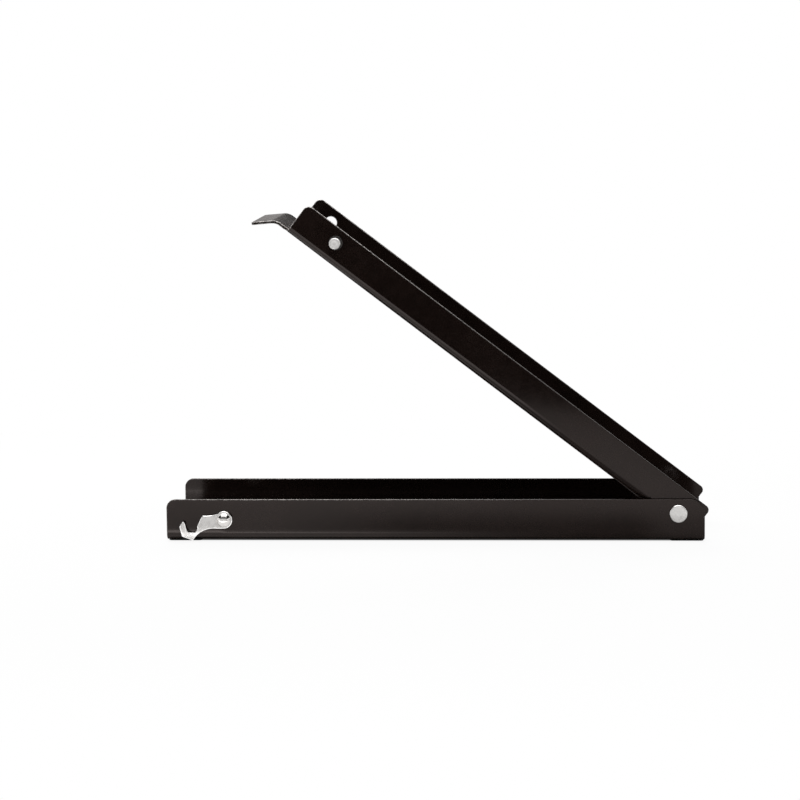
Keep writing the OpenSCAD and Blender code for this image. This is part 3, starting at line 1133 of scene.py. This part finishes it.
@dataclass
class Latch:
    """The stamped hook on its domed rivet."""

    base: BaseChannel
    hook_merge: float = 0.2
    hook_front: float = 0.9
    hook_edge: float = 0.75
    hook_edge_steps: int = 4
    hook_back_edge: float = 0.2
    hook_back_angle: float = 45.0
    droop: float = 13.1
    shank: float = 2.5
    head: float = 5.0
    head_high: float = 2.7
    head_at: float = 2.9
    head_skirt: float = 0.12
    dome_steps: int = 14
    tail: float = 3.7
    tail_thick: float = 1.4
    washer: float = 5.0
    washer_thick: float = 0.5
    ring_edge: float = 0.1
    clear: float = 0.05

    def hook(self) -> Blank:
        """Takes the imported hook, makes its triangles whole faces and rounds its edges, the front ones most.

        Returns:
            The hook.
        """
        blank = Blank()
        bm = blank.bm
        bm.from_mesh(frame["nodes"]["latch_hook"].data)
        blank.place(Matrix.Scale(1 / MM, 4))
        bmesh.ops.remove_doubles(bm, verts=bm.verts[:], dist=TOUCH / 2)
        bmesh.ops.dissolve_limit(bm, angle_limit=math.radians(FLAT_ANGLE), verts=bm.verts[:],
                                 edges=bm.edges[:])
        bmesh.ops.remove_doubles(bm, verts=bm.verts[:], dist=self.hook_merge)
        bm.normal_update()
        rim = [edge for edge in blank.sharp_edges(RIM_ANGLE)
               if any(face.normal.y < -self.hook_front for face in edge.link_faces)]
        blank.bevel(rim, self.hook_edge, self.hook_edge_steps, finish=RIM_FINISH)
        blank.soften(self.hook_back_edge, FINE_STEPS, self.hook_back_angle)
        return blank

    def rivet(self) -> Blank:
        """Turns the rivet, with its dome as part of a sphere.

        Returns:
            The rivet.
        """
        ball = (self.head ** 2 + self.head_high ** 2) / (2 * self.head_high)
        reach = math.asin(self.head / ball)
        turns = [reach * step / self.dome_steps for step in range(self.dome_steps)]
        top = self.head_at + self.head_high
        back = -self.base.thick - self.washer_thick
        return Blank.turned([
            *((ball * math.sin(turn), top - ball * (1 - math.cos(turn))) for turn in turns),
            (self.head, self.head_at + self.head_skirt), (self.head, self.head_at),
            (self.shank, self.head_at), (self.shank, back), (self.tail, back),
            *peened_tail(self.tail, back - self.tail_thick),
        ])

    def ring(self, back: float) -> Blank:
        """Returns the spacer or the washer, with its back face that far behind the base's outer face."""
        return Blank.ring(self.shank + self.clear, self.washer, self.washer_thick, back, self.ring_edge)

    def dress(self) -> None:
        """Puts the latch in the scene."""
        at = joint_place("latch_swing")
        seat = Matrix.Translation((at.x, -self.base.width / 2, at.z))
        plate = BrightPlate(name="stamped_nickel_hook", main=(0.66, 0.645, 0.63), other=(0.54, 0.525, 0.51),
                            grains=plate_grains((0.0, math.radians(self.droop), 0.0)))
        # Painted highlight: the hook's rims get a much paler, glossier copy of the face's nickel
        rim = BrightPlate(name="tumbled_nickel_rim", main=(0.97, 0.955, 0.94), other=(0.93, 0.915, 0.9),
                          roughness=0.09)
        dome = BrightPlate(name="domed_nickel_rivet", roughness=0.1)
        self.hook().deliver("latch_hook", Body.LATCH, plate, rim)
        self.rivet().place(seat).deliver("latch_rivet", Body.BASE, dome)
        for node, back in (("latch_spacer", 0.0), ("latch_washer", self.base.thick + self.washer_thick)):
            self.ring(back).place(seat).deliver(node, Body.BASE, DullZinc())


@dataclass
class FootPads:
    """Rubber pads under the four corners of the base."""

    corner: float = 2.5
    corner_steps: int = 6
    edge: float = 0.3
    nodes: tuple[str, ...] = ("foot_front_left", "foot_front_right", "foot_rear_left", "foot_rear_right")

    def build(self, node: str) -> Blank:
        """Moulds one pad.

        Args:
            node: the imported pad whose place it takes.

        Returns:
            The pad.
        """
        low, high = (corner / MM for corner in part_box(node))
        blank = Blank()
        bmesh.ops.create_cube(blank.bm, size=1.0)
        blank.place(Matrix.Translation((low + high) / 2) @ Matrix.Diagonal((*(high - low), 1)))
        upright = [edge for edge in blank.bm.edges if abs((edge.verts[0].co - edge.verts[1].co).z) > TOUCH]
        blank.bevel(upright, self.corner, self.corner_steps)
        blank.soften(self.edge)
        return blank

    def dress(self) -> None:
        """Puts the four pads in the scene."""
        for node in self.nodes:
            self.build(node).deliver(node, Body.BASE, PadRubber())


# Studio, in metres

LAMP_AIM = Vector((0, 0, 0.05))


def panel(name: str, size: Span, place: Matrix, seen: bool = False, shades: bool = True) -> Graph:
    """Sets up a flat panel that isn't part of the object.

    Args:
        name: its name.
        size: its width and height.
        place: where it is, and how it is turned.
        seen: whether the camera sees it.
        shades: whether it takes light from what is round it.

    Returns:
        The tree of its material.
    """
    bm = bmesh.new()
    bmesh.ops.create_grid(bm, x_segments=1, y_segments=1, size=0.5)
    bmesh.ops.transform(bm, matrix=place @ Matrix.Diagonal((*size, 1, 1)), verts=bm.verts[:])
    made = bpy.data.materials.new(name)
    item = mesh_item(name, bm, made)
    item.visible_camera = seen
    item.visible_diffuse = item.visible_shadow = shades
    return Graph(made)


@dataclass(frozen=True)
class Floor:
    """The pale floor: white to the camera, with the object's shadow, and with painted shade and light in its
    reflections.

    Along is X and front is Y. A zone is a rise and a fall.
    """

    half: float = 1.5
    front: float = -0.80
    tone: float = 0.86
    # Distances from a point before the base, with those along it halved
    middle: Triple = (0, -0.05, 0)
    squeeze: Triple = (0.5, 1, 1)
    shadow_reach: Span = (0.2, 0.6)
    shadow_kept: float = 0.08
    gloss_white: Span = (0.6, 1.0)
    # Painted shadow in the gap under the base, dark to the camera
    gap_along: Zone = ((-0.19, -0.188), (0.188, 0.19))
    gap_front: Zone = ((-0.0445, -0.0405), (0.045, 0.05))
    gap_dark: float = 0.85
    # Painted light: a white strip close before the base, seen only in reflections
    strip_along: Span = (-0.1, 0.12)
    strip_front: Zone = ((-0.11, -0.08), (-0.0515, -0.0505))
    strip_white: float = 0.9
    # Painted shade over the stretch before the base's middle and hinge end, seen only in reflections
    dim_tone: float = 0.043
    dim_front: Span = (-0.24, -0.11)
    dim_most: float = 0.72
    dim_left: Span = (-0.14, 0.0)
    dim_left_share: float = 0.15
    dim_right: Span = (0.14, 0.17)
    dim_right_share: float = 0.5
    # A bright line and a fainter pool of light at the left, in reflections
    light: float = 4.0
    line_along: Span = (-0.2, 0.05)
    line_front: Zone = ((-0.0925, -0.0895), (-0.0855, -0.0825))
    pool_along: Zone = ((-0.4, -0.25), (0.0, 0.06))
    pool_front: Zone = ((-0.95, -0.8), (-0.275, -0.245))
    pool_share: float = 0.22

    def lay(self) -> None:
        """Lays the floor under the object."""
        place = Matrix.Translation((0, self.front + self.half, 0))
        graph = panel("floor", (2 * self.half, 2 * self.half), place, seen=True)
        along, front = graph.axis("X"), graph.axis("Y")
        away = graph.length(graph.place(self.middle, self.squeeze))
        camera, gloss = graph.sight()
        # Painted shadow in the gap under the base, seen by the camera
        gap = graph.window(along, *self.gap_along) * graph.window(front, *self.gap_front)
        clean = graph.smooth(away, *self.shadow_reach, (1 - self.shadow_kept, 1.0))
        # Painted light: a white strip before the base, seen only in reflections
        strip = (graph.window(front, *self.strip_front)
                 * graph.smooth(along, *self.strip_along, (self.strip_white, 0.0)))
        white = (camera * (clean - gap * self.gap_dark)
                 + gloss * graph.smooth(away, *self.gloss_white).maximum(strip))
        # Painted shade before the base's middle and hinge end, seen only in reflections
        dim = (graph.smooth(front, *self.dim_front, (0.0, self.dim_most))
               * graph.smooth(along, *self.dim_left, (self.dim_left_share, 1.0))
               * graph.smooth(along, *self.dim_right, (1.0, self.dim_right_share)))
        line = graph.window(front, *self.line_front) * graph.smooth(along, *self.line_along, FALL)
        pool = graph.window(front, *self.pool_front) * graph.window(along, *self.pool_along)
        ground = graph.mix(gloss * dim, graph.matt(self.tone), graph.matt(self.dim_tone))
        ground = graph.mix(white, ground, graph.glow(1.0))
        graph.output(graph.mix(gloss * (line + pool * self.pool_share), ground, graph.glow(self.light)))


@dataclass(frozen=True)
class DarkCard:
    """A dark card that only reflections and shadows show, and only reflections if it doesn't shade."""

    name: str
    size: Span
    place: Triple
    stand: Stand
    shades: bool = True
    tone: float = 0.01

    def put(self) -> None:
        """Puts the card in the studio."""
        place = Matrix.Translation(self.place) @ self.stand.matrix
        graph = panel(self.name, self.size, place, shades=self.shades)
        graph.output(graph.matt(self.tone))


@dataclass(frozen=True)
class GreyCard:
    """A card that glows behind the object, for the top faces of the paint to reflect."""

    name: str = "grey_card"
    size: Span = (5.0, 0.5)
    place: Triple = (0, 1.5, 0.25)
    colour: Colour = (1, 0.96, 0.94)
    low: float = 0.41
    high: float = 0.07
    change: Span = (0.27, 0.36)

    def put(self) -> None:
        """Puts the card in the studio."""
        graph = panel(self.name, self.size, Matrix.Translation(self.place) @ Stand.UPRIGHT.matrix)
        low, high = (graph.glow(strength, self.colour) for strength in (self.low, self.high))
        graph.output(graph.mix(graph.smooth(graph.axis("Z"), *self.change), low, high))


@dataclass(frozen=True)
class Softbox:
    """A soft lamp that looks at the object."""

    name: str
    size: Span
    place: Triple
    watts: float

    def put(self) -> None:
        """Hangs the lamp in the studio."""
        light = bpy.data.lights.new(self.name, "AREA")
        light.shape = "RECTANGLE"
        light.size, light.size_y = self.size
        light.energy = self.watts
        lamp = put_in_scene(self.name, light)
        turn = (LAMP_AIM - Vector(self.place)).to_track_quat("-Z", "Y")
        lamp.matrix_world = Matrix.Translation(self.place) @ turn.to_matrix().to_4x4()
        lamp.visible_camera = False


@dataclass(frozen=True)
class Eye:
    """The camera, fitted to the edges in the photograph, with its angles in radians."""

    place: Triple = (0.10079, -2.05875, 0.34803)
    yaw: float = -0.0617708
    pitch: float = 0.1219787
    roll: float = -0.0096087
    lens: float = 129.6
    sensor: float = 36.0
    reach: float = 50.0

    def put(self) -> None:
        """Sets the camera where the photograph was taken from."""
        turn = (Matrix.Rotation(-self.yaw, 4, "Z") @ Matrix.Rotation(math.pi / 2 - self.pitch, 4, "X")
                @ Matrix.Rotation(self.roll, 4, "Z"))
        data = bpy.data.cameras.new("camera")
        data.sensor_fit = "HORIZONTAL"
        data.sensor_width = self.sensor
        data.lens = self.lens
        data.clip_end = self.reach
        camera = put_in_scene("camera", data)
        camera.matrix_world = Matrix.Translation(self.place) @ turn
        bpy.context.scene.camera = camera


@dataclass(frozen=True)
class Studio:
    """Camera, floor, cards and lamps of the picture."""

    eye: Eye = Eye()
    floor: Floor = Floor()
    cards: tuple[Union[DarkCard, GreyCard], ...] = (
        DarkCard("dark_card_low", (5.2, 0.7), (0, -2.4, -0.1), Stand.UPRIGHT),
        DarkCard("dark_card_high", (5.2, 1.3), (0, -2.4, 1.45), Stand.UPRIGHT),
        DarkCard("dark_card_left", (2.2, 2.4), (-2.6, -1.3, 2.0), Stand.SIDEWAYS),
        DarkCard("dark_card_right", (2.2, 2.4), (2.6, -1.3, 2.0), Stand.SIDEWAYS),
        # A dark sheet on the floor behind the object, seen only in reflections: a painted dark reflection
        # that casts no shadow
        DarkCard("dark_floor", (3.0, 1.2), (0, 0.7, 0.002), Stand.FLAT, shades=False),
        GreyCard(),
    )
    lamps: tuple[Softbox, ...] = (
        Softbox("back_softbox", (2.4, 1.0), (-0.6, 1.35, 1.05), 26.0),
        Softbox("top_softbox", (1.2, 0.8), (0.0, -0.25, 1.3), 10.0),
    )
    room_light: float = 0.4

    def light_room(self) -> None:
        """Fills the room with even light, white where it is seen."""
        room = bpy.data.worlds.new("studio")
        bpy.context.scene.world = room
        graph = Graph(room)
        camera, gloss = graph.sight()
        level = (camera + gloss) * (1 - self.room_light) + self.room_light
        back = graph.node("ShaderNodeBackground", None, {"Color": (1, 1, 1, 1), "Strength": level})
        graph.node("ShaderNodeOutputWorld", None, {"Surface": back})

    def build(self) -> None:
        """Sets up the whole studio."""
        self.eye.put()
        self.floor.lay()
        for card in self.cards:
            card.put()
        self.light_room()
        for lamp in self.lamps:
            lamp.put()
        bpy.context.scene.view_settings.view_transform = "Standard"


def write_sizes() -> None:
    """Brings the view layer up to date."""
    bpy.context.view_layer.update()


def main() -> None:
    """Builds the studio and dresses every part of the crusher."""
    logging.basicConfig(level=logging.INFO, format="%(name)s: %(message)s")
    Studio().build()
    base, arm = BaseChannel(), PressArm()
    for part in (base, arm, Hinge(base), CatchStud(arm), Latch(base), FootPads()):
        part.dress()
    write_sizes()


if __name__ == "__main__":
    main()
